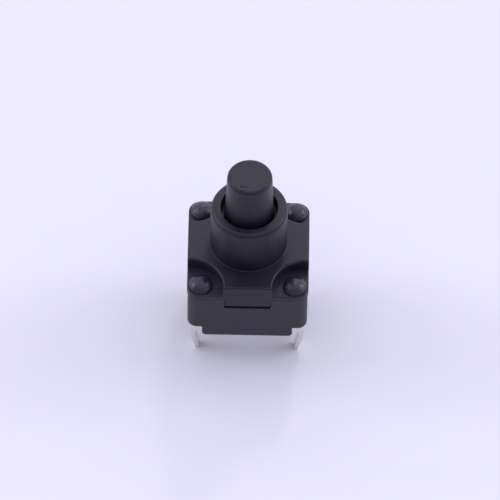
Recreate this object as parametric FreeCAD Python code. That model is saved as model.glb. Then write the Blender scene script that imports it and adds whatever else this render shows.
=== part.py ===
import FreeCAD
import Part
import math
import os

# Sealed tactile push button switch for a printed circuit board. Millimetres.
# The origin is in the middle of the face that seats on the board, +Z runs up the plunger's axis,
# the leads are at the two X sides, and the front is -Y.

# Cover: a flange, a raised lobe with four corner recesses, and a boss for the plunger
COVER_SIDE = 8.0
COVER_CORNER_R = 0.85
FLANGE_T = 0.52
LOBE_H = 0.85
LOBE_EDGE_R = 0.12
RECESS_R = 2.25
RECESS_OFFSET = 0.15        # from the cover's corner in to the recess's centre, along X and Y
BOSS_WALL = 0.645           # round the wide mouth
BOSS_H = 3.6
BOSS_EDGE_R = 0.34
BOSS_FOOT_R = 0.06
MOUTH_GAP = 0.29            # between the stem and the boss's wide mouth, on the radius
MOUTH_DEPTH = 0.9
ROOF_T = 0.55               # from the hollow inside up to the lobe's top
SPIGOT_H = 0.28             # ring under the flange that clamps the boot's rim
FLANGE_EDGE_R = 0.08

# Base: the lower body, its stand-off and its posts
BASE_INSET = 0.05           # how far the base stands back from the cover's edge
BASE_CORNER_R = 0.65
SEAM_Z = 3.66               # from the board to the joint of base and cover
STANDOFF_H = 0.77
STANDOFF_TO_LEAD = 0.125    # open gap beside each lead
STANDOFF_EDGE_R = 0.3
BASE_EDGE_R = 0.12
POST_R = 0.6
POST_INSET = 0.91           # from the cover's side in to a post's axis
HEAD_R = 0.78               # melted end of a post
HEAD_SIDE_H = 0.12          # straight side of a head, under its dome
HEAD_DOME_H = 0.44
HEAD_EDGE_R = 0.09
HEAD_LAP = 0.15             # a post's shank reaches this far up inside its head
ROOT = 0.3                  # a post or nub is rooted this deep in the base

# Front and rear tongue of the cover, in a notch of the base
TONGUE_W = 3.0
TONGUE_T = 0.4
TONGUE_H = 0.5
NOTCH_GAP = 0.3             # open slot left under the tongue

# Plunger
STEM_R = 1.6                # in the guide
STEM_TOP_R = 1.475
STEM_OUT = 3.22             # stands this far out of the boss at rest
STEM_EDGE_R = 0.24
COLLAR_T = 0.4
GROOVE_R = 0.95             # groove under the collar, which the boot's bead grips
GROOVE_H = 0.28
FOOT_R = 1.3
FOOT_T = 0.3
NOSE_R = 0.8                # the nose that presses the dome
TRAVEL = 0.35
GATE_R = 0.08               # small mark of the moulding gate on the plunger's top
GATE_L = 0.3                # between the centres of its round ends
GATE_DEPTH = 0.03
GATE_X = -0.42
GATE_IN = 0.52              # from the front of the top's rim in to the mark

# Contact chamber, snap dome and boot
FLOOR_Z = 1.78              # chamber floor
CHAMBER_GAP = 0.15          # between the dome's rim and the chamber's wall
DOME_R = 2.4
DOME_T = 0.08
DOME_SPARE = 0.02           # left under the dome when the plunger is fully down
BOOT_SEAT_W = 0.45          # ledge round the chamber that carries the boot's rim
BOOT_RIM_T = 0.4
BOOT_RIM_W = 0.65
BOOT_WEB_T = 0.25
BOOT_BEAD_W = 0.55

# Lead frames
LEAD_PITCH_X = 6.5
LEAD_PITCH_Y = 4.5
LEAD_T = 0.3
LEAD_W = 0.7
LEAD_TIP_W = 0.42
LEAD_TAPER = 0.55
LEAD_BEND_R = 0.35          # to the middle of the sheet
LEAD_TIP_Z = -3.22
KINK_TOP_Z = -0.32
KINK_Z = -1.67
KINK_OUT = 0.37             # the kink stands this far outside the line the lead starts and ends on
STRIP_DEPTH = 0.4           # from the chamber floor down to the middle of a buried strip
CONTACT_R = 0.35
CENTRE_CONTACT_R = 0.6
CONTACT_PROUD = 0.05        # contacts stand above the chamber floor
RIM_CONTACT_IN = 0.25       # from the dome's rim in to the middle of its contacts
ARM_W = 0.5
BLANK_SPARE = 0.3           # the blank reaches this far past the strip that is cut from it

# Clearances
GUIDE_GAP = 0.05            # stem to guide bore, on the radius
COLLAR_GAP = 0.15           # collar to the cover's inside, on the radius
STOP_GAP = 0.04             # collar to the cover's stop face at rest
NOSE_GAP = 0.01             # nose to the dome at rest
BEAD_GAP = 0.02             # boot's bead to each wall of its groove
POST_GAP = 0.03             # post to the cover's hole, on the radius
NOTCH_SIDE_GAP = 0.03       # tongue to the notch's sides and back
ROOM_GAP = 0.03             # base wall to the boot's rim, on the radius

# Heights and places that follow from the sizes above
FLANGE_TOP = SEAM_Z + FLANGE_T
LOBE_TOP = FLANGE_TOP + LOBE_H
BOSS_TOP = LOBE_TOP + BOSS_H
STEM_TOP = BOSS_TOP + STEM_OUT
COVER_HALF = COVER_SIDE / 2
BASE_HALF = COVER_HALF - BASE_INSET
RECESS_AT = COVER_HALF - RECESS_OFFSET
MOUTH_R = STEM_R + MOUTH_GAP
BOSS_R = MOUTH_R + BOSS_WALL
CHAMBER_R = DOME_R + CHAMBER_GAP
BOOT_R = CHAMBER_R + BOOT_SEAT_W
RIM_IN = BOOT_R - BOOT_RIM_W
HOLLOW_R = RIM_IN
COLLAR_R = HOLLOW_R - COLLAR_GAP
RIM_CONTACT_AT = DOME_R - RIM_CONTACT_IN
POST_AT = COVER_HALF - POST_INSET
CONTACT_Z = FLOOR_Z + CONTACT_PROUD
DOME_H = DOME_T + TRAVEL + DOME_SPARE
DOME_TOP = CONTACT_Z + DOME_H
RIM_TOP = SEAM_Z - SPIGOT_H
RIM_Z = RIM_TOP - BOOT_RIM_T
STOP_Z = LOBE_TOP - ROOF_T
COLLAR_TOP = STOP_Z - STOP_GAP
COLLAR_Z = COLLAR_TOP - COLLAR_T
GROOVE_Z = COLLAR_Z - GROOVE_H
STRIP_Z = FLOOR_Z - STRIP_DEPTH
LEAD_X = LEAD_PITCH_X / 2
LEAD_Y = LEAD_PITCH_Y / 2
STANDOFF_HALF = LEAD_X - LEAD_T / 2 - STANDOFF_TO_LEAD
CORNERS = [(sx, sy) for sx in (-1, 1) for sy in (-1, 1)]

V = FreeCAD.Vector
UP = V(0, 0, 1)
SAME = 1e-4                 # lengths that differ by less than this are the same
ALONG = 0.99                # an edge runs along an axis if its direction has this share of it


def cylinder(radius, low, high, x=0, y=0):
    return Part.makeCylinder(radius, high - low, V(x, y, low))


def box(x0, x1, y0, y1, z0, z1):
    return Part.makeBox(x1 - x0, y1 - y0, z1 - z0, V(x0, y0, z0))


def square_block(half, corner_r, low, high):
    """Upright block of square plan, its four upright edges rounded."""
    block = box(-half, half, -half, half, low, high)
    upright = [e for e in block.Edges if abs(e.tangentAt(e.FirstParameter).z) > ALONG]
    return block.makeFillet(corner_r, upright)


def cap(radius, height, low, x=0, y=0):
    """Slice of a ball: round below with this radius, and domed above."""
    ball_r = (radius**2 + height**2) / (2 * height)
    rim_angle = math.degrees(math.asin((ball_r - height) / ball_r))
    return Part.makeSphere(ball_r, V(x, y, low + height - ball_r), UP, rim_angle, 90, 360)


def turned(outline):
    """Solid turned about Z from a closed outline of (radius, height) points."""
    points = [V(r, 0, z) for r, z in outline]
    return Part.Face(Part.makePolygon(points + points[:1])).revolve(V(0, 0, 0), UP, 360)


def flat_edges(shape, z):
    """Edges that lie in the level plane at height z."""
    return [e for e in shape.Edges if max(abs(e.BoundBox.ZMin - z), abs(e.BoundBox.ZMax - z)) < SAME]


def is_centred(edge):
    """True for a round edge about the main axis."""
    curve = edge.Curve
    return isinstance(curve, Part.Circle) and math.hypot(curve.Center.x, curve.Center.y) < SAME


def has_radius(edge, radius):
    """True for a round edge of this radius."""
    return isinstance(edge.Curve, Part.Circle) and abs(edge.Curve.Radius - radius) < SAME


def circle_edges(shape, z, radius):
    """Round edges about the main axis with this radius, at height z."""
    return [e for e in flat_edges(shape, z) if has_radius(e, radius) and is_centred(e)]


def left_of(run):
    """The direction at a right angle to a run in the XZ plane."""
    return V(-run.z, 0, run.x)


def bent_strip(path, bend_r, thickness, y, width):
    """Sheet strip of constant thickness along a path of (x, z) points, bent round each corner."""
    points = [V(x, y - width / 2, z) for x, z in path]
    runs = [(ahead - here).normalize() for here, ahead in zip(points, points[1:])]
    edges, starts, stops = [], [], []
    for side in (thickness / 2, -thickness / 2):
        last = points[0] + left_of(runs[0]) * side
        starts.append(last)
        for corner, behind, ahead in zip(points[1:], runs, runs[1:]):
            bend = math.copysign(1, left_of(behind).dot(ahead))
            reach = bend_r * math.tan(behind.getAngle(ahead) / 2)
            centre = corner - behind * reach + left_of(behind) * bend_r * bend
            start = corner - behind * reach + left_of(behind) * side
            end = corner + ahead * reach + left_of(ahead) * side
            middle = centre + (start + end - centre * 2).normalize() * (bend_r - side * bend)
            edges.append(Part.makeLine(last, start))
            edges.append(Part.Arc(start, middle, end).toShape())
            last = end
        stops.append(points[-1] + left_of(runs[-1]) * side)
        edges.append(Part.makeLine(last, stops[-1]))
    edges += [Part.makeLine(*starts), Part.makeLine(*stops)]
    outline = Part.Wire(Part.sortEdges(edges)[0])
    return Part.Face(outline).extrude(V(0, width, 0))


def leads(y):
    """Both leads of one frame, and the buried strip that joins them, cut from one sheet."""
    right = [
        (LEAD_X, STRIP_Z),
        (LEAD_X, KINK_TOP_Z),
        (LEAD_X + KINK_OUT, KINK_Z),
        (LEAD_X, LEAD_TIP_Z),
    ]
    path = [(-x, z) for x, z in reversed(right)] + right
    strip = bent_strip(path, LEAD_BEND_R, LEAD_T, y, LEAD_W)
    wide, tip = LEAD_W / 2, LEAD_TIP_W / 2
    top, bottom = STRIP_Z + BLANK_SPARE, LEAD_TIP_Z - BLANK_SPARE
    shoulder = LEAD_TIP_Z + LEAD_TAPER
    outline = [(tip, bottom), (wide, shoulder), (wide, top)]
    outline += [(-across, z) for across, z in reversed(outline)]
    points = [V(-COVER_SIDE, y + across, z) for across, z in outline]
    blank = Part.Face(Part.makePolygon(points + points[:1])).extrude(V(2 * COVER_SIDE, 0, 0))
    return strip.common(blank)


def make_terminal_front():
    """Front lead frame: a tongue from its strip carries the centre contact."""
    low, high = STRIP_Z - LEAD_T / 2, STRIP_Z + LEAD_T / 2
    tongue = box(-ARM_W / 2, ARM_W / 2, -LEAD_Y, 0, low, high)
    contact = cylinder(CENTRE_CONTACT_R, low, CONTACT_Z)
    return leads(-LEAD_Y).fuse([tongue, contact]).removeSplitter()


def make_terminal_rear():
    """Rear lead frame: two arms carry the contacts under the dome's rim."""
    low, high = STRIP_Z - LEAD_T / 2, STRIP_Z + LEAD_T / 2
    pieces = []
    for side in (-1, 1):
        x = side * RIM_CONTACT_AT
        pieces.append(box(x - ARM_W / 2, x + ARM_W / 2, 0, LEAD_Y, low, high))
        pieces.append(cylinder(CONTACT_R, low, CONTACT_Z, x))
    return leads(LEAD_Y).fuse(pieces).removeSplitter()


def head(x, y):
    """Melted end of a post, on the flange: a straight side, a round shoulder and a low dome."""
    shoulder = FLANGE_TOP + HEAD_SIDE_H
    dome = cap(HEAD_R, HEAD_DOME_H, shoulder, x, y)
    whole = cylinder(HEAD_R, FLANGE_TOP, shoulder, x, y).fuse(dome).removeSplitter()
    return whole.makeFillet(HEAD_EDGE_R, flat_edges(whole, shoulder))


def make_base_housing(terminals):
    """Lower body with its stand-off, chamber, notches and posts, moulded round the lead frames."""
    body = square_block(BASE_HALF, BASE_CORNER_R, STANDOFF_H, SEAM_Z)
    body = body.makeFillet(BASE_EDGE_R, flat_edges(body, STANDOFF_H))
    foot = box(-STANDOFF_HALF, STANDOFF_HALF, -BASE_HALF, BASE_HALF, 0, STANDOFF_H + BASE_EDGE_R)
    corners = [e for e in flat_edges(foot, 0) if abs(e.tangentAt(e.FirstParameter).y) > ALONG]
    body = body.fuse(foot.makeFillet(STANDOFF_EDGE_R, corners))
    body = body.cut(cylinder(CHAMBER_R, FLOOR_Z, SEAM_Z))
    body = body.cut(cylinder(BOOT_R + ROOM_GAP, RIM_Z, SEAM_Z))
    for side in (-1, 1):
        wide = TONGUE_W / 2 + NOTCH_SIDE_GAP
        back = COVER_HALF - TONGUE_T - NOTCH_SIDE_GAP
        y0, y1 = sorted((side * back, side * COVER_HALF))
        body = body.cut(box(-wide, wide, y0, y1, SEAM_Z - TONGUE_H - NOTCH_GAP, SEAM_Z))
    posts = []
    for sx, sy in CORNERS:
        x, y = sx * POST_AT, sy * POST_AT
        posts.append(cylinder(POST_R, SEAM_Z - ROOT, FLANGE_TOP + HEAD_LAP, x, y))
        posts.append(head(x, y))
    nub_places = (-RIM_CONTACT_AT, RIM_CONTACT_AT)
    nubs = [cylinder(CONTACT_R, FLOOR_Z - ROOT, CONTACT_Z, 0, y) for y in nub_places]
    return body.fuse(posts + nubs).cut(terminals).removeSplitter()


def make_cover():
    """Flange, lobe and boss in one moulding, bored for the plunger and hollow for its collar."""
    flange = square_block(COVER_HALF, COVER_CORNER_R, SEAM_Z, FLANGE_TOP)
    lobe = square_block(COVER_HALF, COVER_CORNER_R, FLANGE_TOP, LOBE_TOP)
    for sx, sy in CORNERS:
        lobe = lobe.cut(cylinder(RECESS_R, FLANGE_TOP, LOBE_TOP, sx * RECESS_AT, sy * RECESS_AT))
    body = flange.fuse([lobe, cylinder(BOSS_R, FLANGE_TOP, BOSS_TOP)]).removeSplitter()
    body = body.makeFillet(BOSS_FOOT_R, circle_edges(body, LOBE_TOP, BOSS_R))
    body = body.makeFillet(BOSS_EDGE_R, circle_edges(body, BOSS_TOP, BOSS_R))
    rim = [e for e in flat_edges(body, LOBE_TOP) if not is_centred(e)]
    body = body.makeFillet(LOBE_EDGE_R, rim)
    outer = [e for e in flat_edges(body, FLANGE_TOP) if not has_radius(e, RECESS_R)]
    body = body.makeFillet(FLANGE_EDGE_R, outer)
    for side in (-1, 1):
        y0, y1 = sorted((side * (COVER_HALF - TONGUE_T), side * COVER_HALF))
        body = body.fuse(box(-TONGUE_W / 2, TONGUE_W / 2, y0, y1, SEAM_Z - TONGUE_H, SEAM_Z))
    body = body.fuse(cylinder(BOOT_R, RIM_TOP, SEAM_Z))
    body = body.cut(cylinder(STEM_R + GUIDE_GAP, SEAM_Z, BOSS_TOP))
    body = body.cut(cylinder(MOUTH_R, BOSS_TOP - MOUTH_DEPTH, BOSS_TOP))
    body = body.cut(cylinder(HOLLOW_R, RIM_TOP, STOP_Z))
    for sx, sy in CORNERS:
        body = body.cut(cylinder(POST_R + POST_GAP, SEAM_Z, FLANGE_TOP, sx * POST_AT, sy * POST_AT))
    return body.removeSplitter()


def make_plunger():
    """Stem, retaining collar, groove, foot and nose, with the gate's mark on top."""
    outline = [
        (0, DOME_TOP + NOSE_GAP),
        (NOSE_R, DOME_TOP + NOSE_GAP),
        (NOSE_R, GROOVE_Z - FOOT_T),
        (FOOT_R, GROOVE_Z - FOOT_T),
        (FOOT_R, GROOVE_Z),
        (GROOVE_R, GROOVE_Z),
        (GROOVE_R, COLLAR_Z),
        (COLLAR_R, COLLAR_Z),
        (COLLAR_R, COLLAR_TOP),
        (STEM_R, COLLAR_TOP),
        (STEM_R, BOSS_TOP),
        (STEM_TOP_R, STEM_TOP),
        (0, STEM_TOP),
    ]
    body = turned(outline)
    body = body.makeFillet(STEM_EDGE_R, circle_edges(body, STEM_TOP, STEM_TOP_R))
    x, y = GATE_X, GATE_IN - STEM_TOP_R
    mark = box(x - GATE_L / 2, x + GATE_L / 2, y - GATE_R, y + GATE_R, STEM_TOP - GATE_DEPTH, STEM_TOP)
    ends = [cylinder(GATE_R, STEM_TOP - GATE_DEPTH, STEM_TOP, x + s * GATE_L / 2, y) for s in (-1, 1)]
    return body.cut(mark.fuse(ends))


def make_snap_dome():
    """Thin dome whose rim rests on the rear frame's contacts and the base's nubs."""
    shell = cap(DOME_R, DOME_H, CONTACT_Z)
    ball_r = (DOME_R**2 + DOME_H**2) / (2 * DOME_H)
    return shell.cut(Part.makeSphere(ball_r - DOME_T, V(0, 0, DOME_TOP - ball_r)))


def make_sealing_boot():
    """Silicone boot: clamped rim, sloping web, and the bead that grips the plunger's groove."""
    bead_in = GROOVE_R + BEAD_GAP
    bead_out = bead_in + BOOT_BEAD_W
    low, high = GROOVE_Z + BEAD_GAP, COLLAR_Z - BEAD_GAP
    run, rise = RIM_IN - bead_out, low - RIM_Z
    web_up = BOOT_WEB_T * math.hypot(run, rise) / run
    outline = [
        (bead_in, low),
        (bead_out, low),
        (RIM_IN, RIM_Z),
        (BOOT_R, RIM_Z),
        (BOOT_R, RIM_TOP),
        (RIM_IN, RIM_TOP),
        (RIM_IN, RIM_Z + web_up),
        (RIM_IN - run * (high - RIM_Z - web_up) / rise, high),
        (bead_in, high),
    ]
    return turned(outline)


terminal_front = make_terminal_front()
terminal_rear = make_terminal_rear()
nodes = {
    "base_housing": make_base_housing([terminal_front, terminal_rear]),
    "cover": make_cover(),
    "plunger": make_plunger(),
    "terminal_front": terminal_front,
    "terminal_rear": terminal_rear,
    "snap_dome": make_snap_dome(),
    "sealing_boot": make_sealing_boot(),
}

os.makedirs("parts", exist_ok=True)
for name, shape in nodes.items():
    shape.exportStep(f"parts/{name}.step")
    print(f"{name}: {len(shape.Solids)} solid, {shape.Volume:.3f} mm3, valid {shape.isValid()}")
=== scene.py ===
# %% [markdown]
# # A sealed push button switch for a circuit board
#
# The switch is small: a body of 8 mm a side, a round boss, a plunger and four leads. The hard
# pieces were designed in CAD, and their shapes are right as they are. This lesson loads them as a
# fixed frame and gives them what CAD leaves out: the skin of a moulded plastic, the shine of
# plated metal, the soft seal inside, and the light of a small studio.

# %% Load the frame
import math

import bmesh
import bpy
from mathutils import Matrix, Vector


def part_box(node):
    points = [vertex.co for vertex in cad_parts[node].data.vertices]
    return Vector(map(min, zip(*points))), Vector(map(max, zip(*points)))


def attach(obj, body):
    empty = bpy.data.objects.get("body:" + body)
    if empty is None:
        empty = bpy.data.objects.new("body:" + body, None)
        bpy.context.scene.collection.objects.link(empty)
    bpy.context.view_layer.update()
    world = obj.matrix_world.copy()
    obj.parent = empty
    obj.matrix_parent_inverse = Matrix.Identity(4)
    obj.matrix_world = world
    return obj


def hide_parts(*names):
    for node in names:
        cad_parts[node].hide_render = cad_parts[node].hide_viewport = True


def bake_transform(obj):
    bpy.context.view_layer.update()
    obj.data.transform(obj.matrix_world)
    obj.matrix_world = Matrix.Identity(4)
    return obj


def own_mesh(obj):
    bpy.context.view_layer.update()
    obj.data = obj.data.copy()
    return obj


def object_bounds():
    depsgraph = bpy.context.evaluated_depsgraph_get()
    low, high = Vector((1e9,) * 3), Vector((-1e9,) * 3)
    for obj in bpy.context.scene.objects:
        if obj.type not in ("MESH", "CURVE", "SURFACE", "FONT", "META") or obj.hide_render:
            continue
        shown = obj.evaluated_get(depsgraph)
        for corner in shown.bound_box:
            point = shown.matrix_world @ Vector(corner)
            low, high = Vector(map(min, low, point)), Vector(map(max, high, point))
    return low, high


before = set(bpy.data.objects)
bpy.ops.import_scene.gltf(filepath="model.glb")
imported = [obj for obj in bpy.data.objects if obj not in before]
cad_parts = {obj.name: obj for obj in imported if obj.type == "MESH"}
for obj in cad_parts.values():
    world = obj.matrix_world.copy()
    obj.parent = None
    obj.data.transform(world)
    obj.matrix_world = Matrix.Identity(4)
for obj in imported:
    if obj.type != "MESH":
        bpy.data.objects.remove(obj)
cad_low, cad_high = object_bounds()
MM = 0.001
print("pieces:", ", ".join(sorted(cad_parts)))
print("size in mm:", [round(side / MM, 2) for side in cad_high - cad_low])

# %% [markdown]
# ## Small helpers for shader nodes
#
# A procedural material is a graph of small nodes. Written out in full, each node takes four or
# five lines, so the helpers below add a node and join its inputs in one call. An input is either a
# plain value or the output of another node, and the helper tells the two apart.

# %% Add one node and join its inputs
def add(tree, kind, inputs=None, **settings):
    """One new node. The inputs are given by name or number, as a value or another node's output."""
    node = tree.nodes.new(kind)
    for name, value in settings.items():
        setattr(node, name, value)
    for name, value in (inputs or {}).items():
        if isinstance(value, bpy.types.NodeSocket):
            tree.links.new(value, node.inputs[name])
        else:
            node.inputs[name].default_value = value
    return node


def calc(tree, operation, first, second=0.0, third=0.0):
    """A sum, product or other operation on two numbers, or on three for a multiply and add."""
    inputs = {0: first, 1: second, 2: third}
    return add(tree, "ShaderNodeMath", inputs, operation=operation).outputs[0]


def span(tree, value, low, high, to_low=0.0, to_high=1.0):
    """The value's place between low and high, eased at both ends and held outside them."""
    inputs = {"Value": value, "From Min": low, "From Max": high, "To Min": to_low, "To Max": to_high}
    return add(tree, "ShaderNodeMapRange", inputs, interpolation_type="SMOOTHSTEP").outputs["Result"]


def noise(tree, place, scale, detail=2.0, distortion=0.0):
    """Cloudy noise from 0 to 1, with this many patches to the millimetre."""
    inputs = {"Vector": place, "Scale": scale, "Detail": detail, "Distortion": distortion}
    return add(tree, "ShaderNodeTexNoise", inputs).outputs["Fac"]


def blend_colour(tree, share, first, second):
    """The first colour where share is 0, the second where it is 1."""
    return add(tree, "ShaderNodeMix", {0: share, 6: first, 7: second}, data_type="RGBA").outputs[2]


# %% [markdown]
# A graph that Blender has just made is a pile of nodes at one spot. A reader who opens it wants to
# follow it from left to right, so this helper gives each node a column by how many steps it is
# away from the output.

# %% Lay the nodes out in columns
COLUMN_WIDTH = 240
ROW_HEIGHT = 260


def lay_out(tree):
    """Puts each node left of all that it feeds."""
    steps = {node.name: 0 for node in tree.nodes}
    for _ in range(len(steps)):
        for link in tree.links:
            ahead = steps[link.to_node.name] + 1
            steps[link.from_node.name] = max(steps[link.from_node.name], ahead)
    rows = {}
    for node in tree.nodes:
        column = steps[node.name]
        node.location = (-COLUMN_WIDTH * column, -ROW_HEIGHT * rows.get(column, 0))
        rows[column] = rows.get(column, 0) + 1


# %% [markdown]
# ## Node groups for what several finishes share
#
# All three black pieces have the same kind of skin, and every piece has edges and dust. Copying
# those nodes into each material would make six copies to keep alike. A node group is made once, has
# named inputs and outputs, and each material places it with values of its own.

# %% Make a group, and place it in a material
def new_group(name, inputs, outputs):
    """An empty group, its input sockets' outputs, and its output sockets' inputs."""
    group = bpy.data.node_groups.new(name, "ShaderNodeTree")
    for label, value in inputs.items():
        kind = "NodeSocketVector" if value is None else "NodeSocketFloat"
        socket = group.interface.new_socket(label, in_out="INPUT", socket_type=kind)
        if value is not None:
            socket.default_value = value
    for label, kind in outputs.items():
        group.interface.new_socket(label, in_out="OUTPUT", socket_type="NodeSocket" + kind)
    given = group.nodes.new("NodeGroupInput").outputs
    result = group.nodes.new("NodeGroupOutput").inputs
    return group, given, result


def finish_group(group, result, made):
    """Joins what was made to the group's outputs."""
    for label, output in made.items():
        group.links.new(output, result[label])
    lay_out(group)
    print("group:", group.name, "gives", ", ".join(made))


def place(tree, group, inputs=None):
    """Puts a group in a material and returns its outputs."""
    return add(tree, "ShaderNodeGroup", inputs, node_tree=group).outputs


# %% [markdown]
# ### Places in millimetres
#
# The scene is in metres, so a grain of a twentieth of a millimetre would need a noise scale of
# twenty thousand. Object coordinates times a thousand give every texture a place in millimetres.
# Object coordinates also stay with the piece when it moves, so the grain rides on the plunger.

# %% Group: place in millimetres
MILLIMETRES, given, result = new_group("place in millimetres", {}, {"Place": "Vector"})
coordinates = add(MILLIMETRES, "ShaderNodeTexCoord")
scaled = add(MILLIMETRES, "ShaderNodeVectorMath", {0: coordinates.outputs["Object"]}, operation="SCALE")
scaled.inputs["Scale"].default_value = 1 / MM
finish_group(MILLIMETRES, result, {"Place": scaled.outputs[0]})

# %% [markdown]
# ### The skin of a moulding
#
# A mould for small black parts is spark-eroded: the spark leaves tiny craters, and the plastic
# copies them, which makes the satin look. Larger and softer than the craters is the flow of the
# melt, which leaves faint clouds. One noise could not hold both, because they differ by a factor of
# thirty in size, so the group makes them apart and gives both out.

# %% Group: moulded skin
MOULDED_SKIN, given, result = new_group(
    "moulded skin",
    {"Place": None, "Grains per mm": 16.0, "Flow per mm": 0.55},
    {"Grain": "Float", "Flow": "Float"},
)
craters = add(
    MOULDED_SKIN,
    "ShaderNodeTexVoronoi",
    {"Vector": given["Place"], "Scale": given["Grains per mm"]},
    feature="SMOOTH_F1",
)
finer = calc(MOULDED_SKIN, "MULTIPLY", given["Grains per mm"], 1.7)
fine = noise(MOULDED_SKIN, given["Place"], finer, 3.0)
grain = calc(MOULDED_SKIN, "ADD", calc(MOULDED_SKIN, "MULTIPLY", craters.outputs["Distance"], 0.6), fine)
flow = noise(MOULDED_SKIN, given["Place"], given["Flow per mm"], 4.0, 0.8)
finish_group(MOULDED_SKIN, result, {"Grain": grain, "Flow": span(MOULDED_SKIN, flow, 0.3, 0.7)})

# %% [markdown]
# ### Edges
#
# No moulded edge is perfectly sharp, and edges are what hands, trays and other switches rub. A
# Bevel node finds them: near an edge, the normal that it rounds differs from the face's own. The
# difference is a mask for the polish, and the rounded normal catches the light as a thin line,
# which a sharp CAD edge can't do. A real bevel in the mesh would do the same, but it would change
# the CAD shape.

# %% Group: worn edge
WORN_EDGE, given, result = new_group(
    "worn edge",
    {"Place": None, "Radius mm": 0.05, "Patches per mm": 2.5},
    {"Wear": "Float", "Rounded Normal": "Vector"},
)
radius = calc(WORN_EDGE, "MULTIPLY", given["Radius mm"], MM)
rounded = add(WORN_EDGE, "ShaderNodeBevel", {"Radius": radius}, samples=6)
surface = add(WORN_EDGE, "ShaderNodeNewGeometry")
likeness = add(
    WORN_EDGE,
    "ShaderNodeVectorMath",
    {0: rounded.outputs["Normal"], 1: surface.outputs["Normal"]},
    operation="DOT_PRODUCT",
)
edge = span(WORN_EDGE, likeness.outputs["Value"], 0.995, 0.85)
patches = span(WORN_EDGE, noise(WORN_EDGE, given["Place"], given["Patches per mm"], 3.0), 0.35, 0.7)
wear = calc(WORN_EDGE, "MULTIPLY", edge, patches)
finish_group(WORN_EDGE, result, {"Wear": wear, "Rounded Normal": rounded.outputs["Normal"]})

# %% [markdown]
# ### Dust
#
# Black plastic shows every speck. The specks are the middles of Voronoi cells, and a random number
# for each cell keeps only a few of them. Dust falls, so it stays on faces that look up.

# %% Group: dust specks
DUST, given, result = new_group(
    "dust specks",
    {"Place": None, "Cells per mm": 3.2, "Kept": 0.12, "Speck Size": 0.09},
    {"Dust": "Float"},
)
cells = add(DUST, "ShaderNodeTexVoronoi", {"Vector": given["Place"], "Scale": given["Cells per mm"]})
chance = add(DUST, "ShaderNodeSeparateColor", {"Color": cells.outputs["Color"]}).outputs["Red"]
kept = calc(DUST, "LESS_THAN", chance, given["Kept"])
speck = calc(DUST, "SUBTRACT", 1.0, span(DUST, cells.outputs["Distance"], 0.0, given["Speck Size"]))
upward = add(DUST, "ShaderNodeSeparateXYZ", {0: add(DUST, "ShaderNodeTexCoord").outputs["Normal"]})
facing_up = span(DUST, upward.outputs["Z"], 0.2, 0.8)
dust = calc(DUST, "MULTIPLY", calc(DUST, "MULTIPLY", kept, speck), facing_up)
finish_group(DUST, result, {"Dust": dust})

# %% [markdown]
# ### Rub marks
#
# Handling leaves short fine scratches. Noise that is stretched along one direction looks like a
# bundle of them, and a second, slow noise breaks the bundle into strokes.

# %% Group: rub marks
RUB_MARKS, given, result = new_group(
    "rub marks",
    {"Place": None, "Lines per mm": 9.0, "Slant": 0.6},
    {"Marks": "Float"},
)
turned_place = add(
    RUB_MARKS,
    "ShaderNodeVectorRotate",
    {"Vector": given["Place"], "Angle": given["Slant"], "Axis": (0.3, 0.2, 1.0)},
    rotation_type="AXIS_ANGLE",
)
stretched = add(
    RUB_MARKS,
    "ShaderNodeVectorMath",
    {0: turned_place.outputs[0], 1: (1.0, 0.045, 0.3)},
    operation="MULTIPLY",
)
lines = span(RUB_MARKS, noise(RUB_MARKS, stretched.outputs[0], given["Lines per mm"], 1.0), 0.62, 0.72)
strokes = span(RUB_MARKS, noise(RUB_MARKS, given["Place"], 0.9, 2.0), 0.5, 0.62)
finish_group(RUB_MARKS, result, {"Marks": calc(RUB_MARKS, "MULTIPLY", lines, strokes)})

# %% [markdown]
# ## Materials
#
# Each material keeps its own Principled shader, because gloss belongs to the shader. What is the
# same all over, such as the index of refraction, is set on the shader's socket. What varies comes
# in through nodes.

# %% Start a material, and give it to a piece
def new_material(name):
    """A material with its tree, its Principled shader and a place in millimetres."""
    material = bpy.data.materials.new(name)
    material.use_nodes = True
    tree = material.node_tree
    shader = tree.nodes["Principled BSDF"]
    return material, tree, shader, place(tree, MILLIMETRES)["Place"]


def connect(tree, shader, **outputs):
    """Joins outputs to the shader's sockets; an underscore stands for a space."""
    for label, output in outputs.items():
        tree.links.new(output, shader.inputs[label.replace("_", " ")])
    lay_out(tree)


def bump(tree, height, depth_mm, normal=None):
    """A normal that leans with the height, which spans this many millimetres."""
    inputs = {"Height": height, "Strength": 1.0, "Distance": depth_mm * MM}
    if normal is not None:
        inputs["Normal"] = normal
    return add(tree, "ShaderNodeBump", inputs).outputs["Normal"]


# %% [markdown]
# ### Black moulded plastic
#
# Base, cover and plunger are three mouldings of a glass-filled plastic, dyed black. They come from
# three moulds, so tone and finish differ a little, and one function with a few values makes all
# three. The dye leaves very little colour: what is seen on a black part is mostly the room,
# reflected in a satin surface. So the gloss, which is how much a surface reflects, sets the grey
# of a black part more than its colour does: the base reflects a little more than the cover and
# the plunger, and spreads it wider.

# %% Black plastic
DUST_COLOUR = (0.32, 0.30, 0.29, 1.0)
PLASTIC_IOR = 1.5


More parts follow.
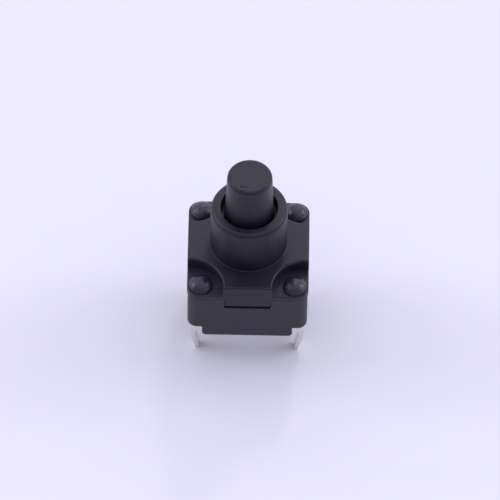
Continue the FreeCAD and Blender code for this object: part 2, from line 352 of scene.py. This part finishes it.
def black_plastic(name, tone, gloss, gloss_roughness, grains_per_mm, grain_depth_mm, kept_dust):
    """A black moulding: returns its material, and what a caller may want to change further."""
    material, tree, shader, spot = new_material(name)
    skin = place(tree, MOULDED_SKIN, {"Place": spot, "Grains per mm": grains_per_mm})
    edges = place(tree, WORN_EDGE, {"Place": spot})
    dust = place(tree, DUST, {"Place": spot, "Kept": kept_dust})["Dust"]
    marks = place(tree, RUB_MARKS, {"Place": spot})["Marks"]

    deep = (tone[0] * 0.85, tone[1] * 0.85, tone[2] * 0.85, 1.0)
    light = (tone[0] * 1.2, tone[1] * 1.2, tone[2] * 1.2, 1.0)
    worn = (tone[0] * 2.6, tone[1] * 2.5, tone[2] * 2.4, 1.0)
    colour = blend_colour(tree, skin["Flow"], deep, light)
    colour = blend_colour(tree, calc(tree, "MULTIPLY", edges["Wear"], 0.5), colour, worn)
    colour = blend_colour(tree, calc(tree, "MULTIPLY", marks, 0.35), colour, worn)
    colour = blend_colour(tree, calc(tree, "MULTIPLY", dust, 0.8), colour, DUST_COLOUR)

    rough = calc(tree, "MULTIPLY_ADD", skin["Grain"], 0.10, gloss_roughness - 0.05)
    rough = calc(tree, "ADD", rough, calc(tree, "MULTIPLY", skin["Flow"], 0.05))
    rough = calc(tree, "SUBTRACT", rough, calc(tree, "MULTIPLY", edges["Wear"], 0.12))
    rough = calc(tree, "ADD", rough, calc(tree, "MULTIPLY", dust, 0.3))

    shader.inputs["IOR"].default_value = PLASTIC_IOR
    shader.inputs["Specular IOR Level"].default_value = gloss
    normal = bump(tree, skin["Grain"], grain_depth_mm, edges["Rounded Normal"])
    parts = {"tree": tree, "shader": shader, "spot": spot, "rough": rough, "normal": normal}
    connect(tree, shader, Base_Color=colour, Roughness=rough, Normal=normal)
    print("material:", name, "roughness about", gloss_roughness)
    return material, parts


# %% Cover and plunger
cover_plastic, _ = black_plastic("cover plastic", (0.0105, 0.0105, 0.0175), 0.34, 0.36, 15.0, 0.004, 0.10)
plunger_plastic, _ = black_plastic("plunger plastic", (0.0105, 0.0105, 0.0175), 0.34, 0.37, 18.0, 0.004, 0.14)

# %% [markdown]
# ### The base and its melted heads
#
# The base's four posts go through the cover, and a hot tool melts their ends into domed heads. It
# wipes out the satin skin there: the heads are glossier, with slow swirls where the melt was pushed
# about. Post and base are one piece, so the change is a mask by height in the same material: only
# the heads reach above the flange.

# %% Base
HEAD_HEIGHT_MM = 0.56
head_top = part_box("base_housing")[1].z / MM
head_foot = head_top - HEAD_HEIGHT_MM

base_plastic, parts = black_plastic("base plastic", (0.015, 0.015, 0.024), 0.5, 0.48, 15.0, 0.004, 0.10)
tree = parts["tree"]
height = add(tree, "ShaderNodeSeparateXYZ", {0: parts["spot"]}).outputs["Z"]
melted = span(tree, height, head_foot - 0.02, head_foot + 0.06)
swirls = noise(tree, parts["spot"], 2.2, 3.0, 2.5)
melt_normal = bump(tree, swirls, 0.045, parts["normal"])
rough = add(tree, "ShaderNodeMix", {0: melted, 2: parts["rough"], 3: 0.24}).outputs[0]
heads = add(tree, "ShaderNodeMix", {0: melted, 4: parts["normal"], 5: melt_normal}, data_type="VECTOR")
connect(tree, parts["shader"], Roughness=rough, Normal=heads.outputs[1])
print("heads between", round(head_foot, 2), "and", round(head_top, 2), "mm")

# %% [markdown]
# ### Plated leads
#
# The lead frames are stamped from brass strip and plated with silver. Rolling leaves fine lines
# along the strip, and the plating dulls them to a soft shine. The narrow sides were sheared by the
# die, so they are rougher and streaked across the thickness. Which side a point is on shows in its
# normal: the sheared sides face along Y, because the strip is bent in the other plane.

# %% Lead plating
PLATE_COLOUR = (0.80, 0.79, 0.77, 1.0)
TARNISH_COLOUR = (0.60, 0.56, 0.50, 1.0)

lead_plating, tree, shader, spot = new_material("lead plating")
along = add(tree, "ShaderNodeVectorMath", {0: spot, 1: (6.0, 30.0, 0.8)}, operation="MULTIPLY").outputs[0]
roll_lines = noise(tree, along, 1.0, 3.0)
sheared = add(tree, "ShaderNodeVectorMath", {0: spot, 1: (40.0, 4.0, 3.0)}, operation="MULTIPLY").outputs[0]
tear = noise(tree, sheared, 1.0, 4.0)
facing = add(tree, "ShaderNodeSeparateXYZ", {0: add(tree, "ShaderNodeTexCoord").outputs["Normal"]})
is_side = span(tree, calc(tree, "ABSOLUTE", facing.outputs["Y"]), 0.6, 0.8)
streaks = add(tree, "ShaderNodeMix", {0: is_side, 2: roll_lines, 3: tear}).outputs[0]
tarnish = span(tree, noise(tree, spot, 1.6, 4.0, 0.5), 0.5, 0.8)
edges = place(tree, WORN_EDGE, {"Place": spot, "Radius mm": 0.03})
colour = blend_colour(tree, calc(tree, "MULTIPLY", tarnish, 0.45), PLATE_COLOUR, TARNISH_COLOUR)
rough = calc(tree, "MULTIPLY_ADD", streaks, 0.2, 0.14)
rough = calc(tree, "ADD", rough, calc(tree, "MULTIPLY", is_side, 0.14))
shader.inputs["Metallic"].default_value = 1.0
connect(
    tree,
    shader,
    Base_Color=colour,
    Roughness=rough,
    Normal=bump(tree, streaks, 0.006, edges["Rounded Normal"]),
)
print("material: lead plating")

# %% [markdown]
# ### Dome steel
#
# The snap dome is stamped from thin rolled stainless strip, so its rolling lines run straight
# across it. Its middle, where the plunger's nose presses, is polished by use.

# %% Dome steel
STEEL_COLOUR = (0.62, 0.62, 0.61, 1.0)
POLISHED_COLOUR = (0.74, 0.74, 0.73, 1.0)
NOSE_RADIUS_MM = 0.8

dome_steel, tree, shader, spot = new_material("dome steel")
across = add(tree, "ShaderNodeVectorMath", {0: spot, 1: (0.6, 22.0, 0.6)}, operation="MULTIPLY").outputs[0]
roll_lines = noise(tree, across, 1.0, 4.0)
flat_spot = add(tree, "ShaderNodeVectorMath", {0: spot, 1: (1.0, 1.0, 0.0)}, operation="MULTIPLY").outputs[0]
from_middle = add(tree, "ShaderNodeVectorMath", {0: flat_spot}, operation="LENGTH").outputs["Value"]
polished = span(tree, from_middle, NOSE_RADIUS_MM * 1.15, NOSE_RADIUS_MM * 0.6)
rough = calc(tree, "MULTIPLY_ADD", roll_lines, 0.22, 0.16)
rough = calc(tree, "SUBTRACT", rough, calc(tree, "MULTIPLY", polished, 0.08))
shader.inputs["Metallic"].default_value = 1.0
connect(
    tree,
    shader,
    Base_Color=blend_colour(tree, polished, STEEL_COLOUR, POLISHED_COLOUR),
    Roughness=rough,
    Normal=bump(tree, roll_lines, 0.002),
)
print("material: dome steel")

# %% [markdown]
# ### Boot silicone
#
# The boot is a milky silicone rubber. Light goes a little way into it, which the shader's
# subsurface weight gives, and its skin is matt with a fine grain and some lint.

# %% Boot silicone
SILICONE_COLOUR = (0.50, 0.49, 0.46)
LINT_COLOUR = (0.75, 0.73, 0.70, 1.0)
SILICONE_IOR = 1.41

boot_silicone, tree, shader, spot = new_material("boot silicone")
skin = place(tree, MOULDED_SKIN, {"Place": spot, "Grains per mm": 11.0, "Flow per mm": 0.9})
dust = place(tree, DUST, {"Place": spot, "Kept": 0.2})["Dust"]
cloudy = tuple(0.88 * c for c in SILICONE_COLOUR) + (1.0,)
colour = blend_colour(tree, skin["Flow"], cloudy, SILICONE_COLOUR + (1.0,))
colour = blend_colour(tree, calc(tree, "MULTIPLY", dust, 0.5), colour, LINT_COLOUR)
rough = calc(tree, "MULTIPLY_ADD", skin["Grain"], 0.12, 0.5)
shader.inputs["IOR"].default_value = SILICONE_IOR
shader.inputs["Subsurface Weight"].default_value = 0.35
shader.inputs["Subsurface Scale"].default_value = 0.3 * MM
connect(tree, shader, Base_Color=colour, Roughness=rough, Normal=bump(tree, skin["Grain"], 0.006))
print("material: boot silicone")

# %% [markdown]
# ## The carried-over pieces
#
# Five pieces keep their CAD shape and only change their material. They already ride on their
# bodies, so there is nothing to place.

# %% Give the CAD pieces their finish
FINISHES = {
    "base_housing": base_plastic,
    "cover": cover_plastic,
    "plunger": plunger_plastic,
    "terminal_front": lead_plating,
    "terminal_rear": lead_plating,
}
for name, material in FINISHES.items():
    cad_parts[name].material_slots[0].material = material
    print(name, "is now", material.name)

# %% [markdown]
# ## Turned pieces
#
# The snap dome and the sealing boot are round, and inside the switch. Their CAD solids are plain,
# so both are made again here with their real curves. A round piece is an outline turned about the
# axis. Blender's Screw modifier can do it too, but turning the outline in code leaves a finished
# mesh with no seam, which a squash or a blend can then move point by point.

# %% Turn an outline about Z
TURN_STEPS = 128


def turned(name, outline, material):
    """A closed ring-shaped piece from a closed outline of (radius, height) points."""
    shape = bmesh.new()
    rings = []
    for step in range(TURN_STEPS):
        angle = 2 * math.pi * step / TURN_STEPS
        rings.append([shape.verts.new((r * math.cos(angle), r * math.sin(angle), z)) for r, z in outline])
    for here, ahead in zip(rings, rings[1:] + rings[:1]):
        for i in range(len(outline)):
            j = (i + 1) % len(outline)
            shape.faces.new((here[i], ahead[i], ahead[j], here[j]))
    bmesh.ops.remove_doubles(shape, verts=shape.verts, dist=MM / 1e4)
    bmesh.ops.recalc_face_normals(shape, faces=shape.faces)
    mesh = bpy.data.meshes.new(name)
    shape.to_mesh(mesh)
    shape.free()
    mesh.shade_smooth()
    mesh.materials.append(material)
    piece = bpy.data.objects.new(name, mesh)
    bpy.context.scene.collection.objects.link(piece)
    print(name, "has", len(mesh.polygons), "faces")
    return piece


# %% [markdown]
# ### The snap dome
#
# It is a slice of a large thin ball, 0.08 mm thick. A real one also has a fine radius on its rim
# and a slightly flat middle, which are too small to see and are left out. When the plunger goes
# down, a real dome flattens towards its rim.

# %% Snap dome
DOME_T = 0.08 * MM
ARC_STEPS = 40
dome_low, dome_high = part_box("snap_dome")
dome_r = dome_high.x
dome_rise = dome_high.z - dome_low.z
ball_r = (dome_r**2 + dome_rise**2) / (2 * dome_rise)
ball_z = dome_high.z - ball_r


def ball_arc(radius, reach):
    """Points on a ball about the dome's centre, from its top out to a radius of reach."""
    points = []
    for step in range(ARC_STEPS + 1):
        r = reach * step / ARC_STEPS
        points.append((r, ball_z + math.sqrt(radius**2 - r**2)))
    return points


under_r = ball_r - DOME_T
under_reach = math.sqrt(under_r**2 - (dome_low.z - ball_z) ** 2)
outline = ball_arc(ball_r, dome_r) + ball_arc(under_r, under_reach)[::-1]
snap_dome = turned("snap_dome_fine", outline, dome_steel)
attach(snap_dome, "housing")
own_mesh(snap_dome)
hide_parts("snap_dome")

# %% [markdown]
# ### The sealing boot
#
# The boot is a ring of silicone that closes the contact chamber. Its thick rim is clamped between
# base and cover, its bead grips a groove in the plunger, and the thin web between them gives as the
# plunger moves. A moulded rubber has no sharp corner, so each corner of the outline is rounded with
# an arc, and the web is a soft S.

# %% Rounded outlines
CORNER_STEPS = 5


def rounded(points, radius):
    """A closed outline with each corner replaced by a small curve that starts this far from it."""
    smooth = []
    for i, corner in enumerate(points):
        corner = Vector(corner)
        before = Vector(points[i - 1]) - corner
        after = Vector(points[(i + 1) % len(points)]) - corner
        start = corner + before.normalized() * min(radius, before.length / 3)
        end = corner + after.normalized() * min(radius, after.length / 3)
        for step in range(CORNER_STEPS + 1):
            t = step / CORNER_STEPS
            point = start * (1 - t) ** 2 + corner * 2 * t * (1 - t) + end * t**2
            smooth.append((point.x, point.y))
    return smooth


# %% Sealing boot
BEAD_W = 0.55 * MM
RIM_W = 0.65 * MM
RIM_T = 0.4 * MM
BEAD_T = 0.24 * MM
BOOT_CORNER = 0.07 * MM
WEB_STEPS = 9

boot_low, boot_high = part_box("sealing_boot")
boot_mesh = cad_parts["sealing_boot"].data
bead_in = min(math.hypot(v.co.x, v.co.y) for v in boot_mesh.vertices)
bead_out = bead_in + BEAD_W
rim_in = boot_high.x - RIM_W
rim_top = boot_low.z + RIM_T
bead_low = boot_high.z - BEAD_T


def web(low, high):
    """Points of an S from the bead, at height high, out and down to the rim, at height low."""
    points = []
    for step in range(1, WEB_STEPS):
        share = step / WEB_STEPS
        ease = share * share * (3 - 2 * share)
        points.append((bead_out + (rim_in - bead_out) * share, high + (low - high) * ease))
    return points


outline = [(bead_in, bead_low), (bead_out, bead_low)]
outline += web(boot_low.z, bead_low)
outline += [(rim_in, boot_low.z), (boot_high.x, boot_low.z), (boot_high.x, rim_top), (rim_in, rim_top)]
outline += web(rim_top - BEAD_T / 2, boot_high.z)[::-1]
outline += [(bead_out, boot_high.z), (bead_in, boot_high.z)]
sealing_boot = turned("sealing_boot_soft", rounded(outline, BOOT_CORNER), boot_silicone)
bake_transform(sealing_boot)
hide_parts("sealing_boot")

# %% [markdown]
# ## Floor
#
# The switch stands on the tips of its leads on a pale sheet. The sheet is large against the
# switch, so that its edge is never near. It is a flat grid, with a faint mottle in its colour.

# %% Pale floor
FLOOR_SIZE = 4.0
FLOOR_COLOUR = (0.745, 0.745, 0.755, 1.0)
FLOOR_CLEARANCE = 0.002 * MM

shape = bmesh.new()
bmesh.ops.create_grid(shape, x_segments=40, y_segments=40, size=FLOOR_SIZE / 2)
floor_mesh = bpy.data.meshes.new("floor")
shape.to_mesh(floor_mesh)
shape.free()
floor = bpy.data.objects.new("floor", floor_mesh)
floor.location.z = cad_low.z - FLOOR_CLEARANCE
bpy.context.scene.collection.objects.link(floor)

floor_paper, tree, shader, spot = new_material("floor paper")
mottle = noise(tree, spot, 0.4, 3.0)
tint = tuple(0.985 * c for c in FLOOR_COLOUR[:3]) + (1.0,)
shader.inputs["Specular IOR Level"].default_value = 0.1
shader.inputs["Roughness"].default_value = 0.9
connect(tree, shader, Base_Color=blend_colour(tree, mottle, tint, FLOOR_COLOUR))
floor_mesh.materials.append(floor_paper)
print("floor at", round(floor.location.z / MM, 3), "mm")

# %% [markdown]
# ## Light
#
# A black satin part has hardly any colour of its own, so it shows the room. A pale tent all round
# gives it even grey faces and leaves only a soft shadow about its foot. The world's colour is the
# tent, and it is brighter high up behind the switch: flat tops reflect that side and look pale,
# while walls reflect the dim front and look dark. What the camera sees of the tent has one even
# tone of its own, which leaves the lighting free to differ.
#
# Three lamps add what a tent can't. The small one behind puts a spot on each melted head. The ones
# at the sides draw a bright streak along the shoulder of the boss, and are wide, so that the
# shadows they cast on the floor fade out close to the switch.

# %% Tent and lamps
TENT_COLOUR = (0.82, 0.80, 1.0, 1.0)
TENT_FRONT = 0.30
TENT_BACK = 1.38
TENT_SEEN = 1.05
BRIGHT_SIDE = (0.08, 0.68, 0.73)

world = bpy.data.worlds.new("tent")
world.use_nodes = True
bpy.context.scene.world = world
tree = world.node_tree
background = tree.nodes["Background"]
background.inputs["Color"].default_value = TENT_COLOUR
direction = add(tree, "ShaderNodeTexCoord").outputs["Generated"]
toward = add(tree, "ShaderNodeVectorMath", {0: direction, 1: BRIGHT_SIDE}, operation="DOT_PRODUCT")
lit = span(tree, toward.outputs["Value"], -0.6, 1.0, TENT_FRONT, TENT_BACK)
seen = add(tree, "ShaderNodeLightPath").outputs["Is Camera Ray"]
strength = add(tree, "ShaderNodeMix", {0: seen, 2: lit, 3: TENT_SEEN}).outputs[0]
tree.links.new(strength, background.inputs["Strength"])
lay_out(tree)


def soft_lamp(name, place_m, size_m, watts, colour):
    """A square lamp at a place in metres that looks at the middle of the switch."""
    light = bpy.data.lights.new(name, "AREA")
    light.size = size_m
    light.energy = watts
    light.color = colour
    lamp = bpy.data.objects.new(name, light)
    lamp.location = place_m
    aim = Vector((0, 0, cad_high.z / 2)) - lamp.location
    lamp.rotation_euler = aim.to_track_quat("-Z", "Y").to_euler()
    bpy.context.scene.collection.objects.link(lamp)
    print("lamp:", name, watts, "W")


COOL = TENT_COLOUR[:3]
WHITE = (1.0, 0.98, 0.95)
soft_lamp("lamp_behind", (0.12, 0.50, 0.52), 0.08, 0.45, WHITE)
soft_lamp("lamp_left", (-0.60, 0.10, 0.36), 0.32, 1.4, COOL)
soft_lamp("lamp_right", (0.60, 0.14, 0.34), 0.32, 1.4, COOL)

# %% [markdown]
# ## Camera
#
# The switch is seen from the front and from well above, through a long lens at about half a metre,
# so that its upright edges stay nearly parallel. The lens follows from the distance and from how
# wide a strip of the floor the picture takes in. The camera is rolled by about a degree, as a camera
# held by hand is.

# %% Camera
ELEVATION = math.radians(51.7)
DISTANCE = 0.52
VIEW_WIDTH = 33.0 * MM
ROLL = math.radians(1.1)
AIM = Vector((0.1, 0.0, 4.08)) * MM

camera = bpy.data.objects.new("camera", bpy.data.cameras.new("camera"))
camera.data.sensor_width = 36.0
camera.data.lens = camera.data.sensor_width * DISTANCE / VIEW_WIDTH
camera.data.clip_start = DISTANCE / 10
camera.data.clip_end = FLOOR_SIZE * 2
back = Vector((0, -math.cos(ELEVATION), math.sin(ELEVATION)))
camera.location = AIM + back * DISTANCE
camera.rotation_euler = (-back).to_track_quat("-Z", "Y").to_euler()
camera.rotation_euler.rotate_axis("Z", ROLL)
bpy.context.scene.collection.objects.link(camera)
bpy.context.scene.camera = camera
bpy.context.scene.view_settings.view_transform = "Standard"
print("lens", round(camera.data.lens), "mm")
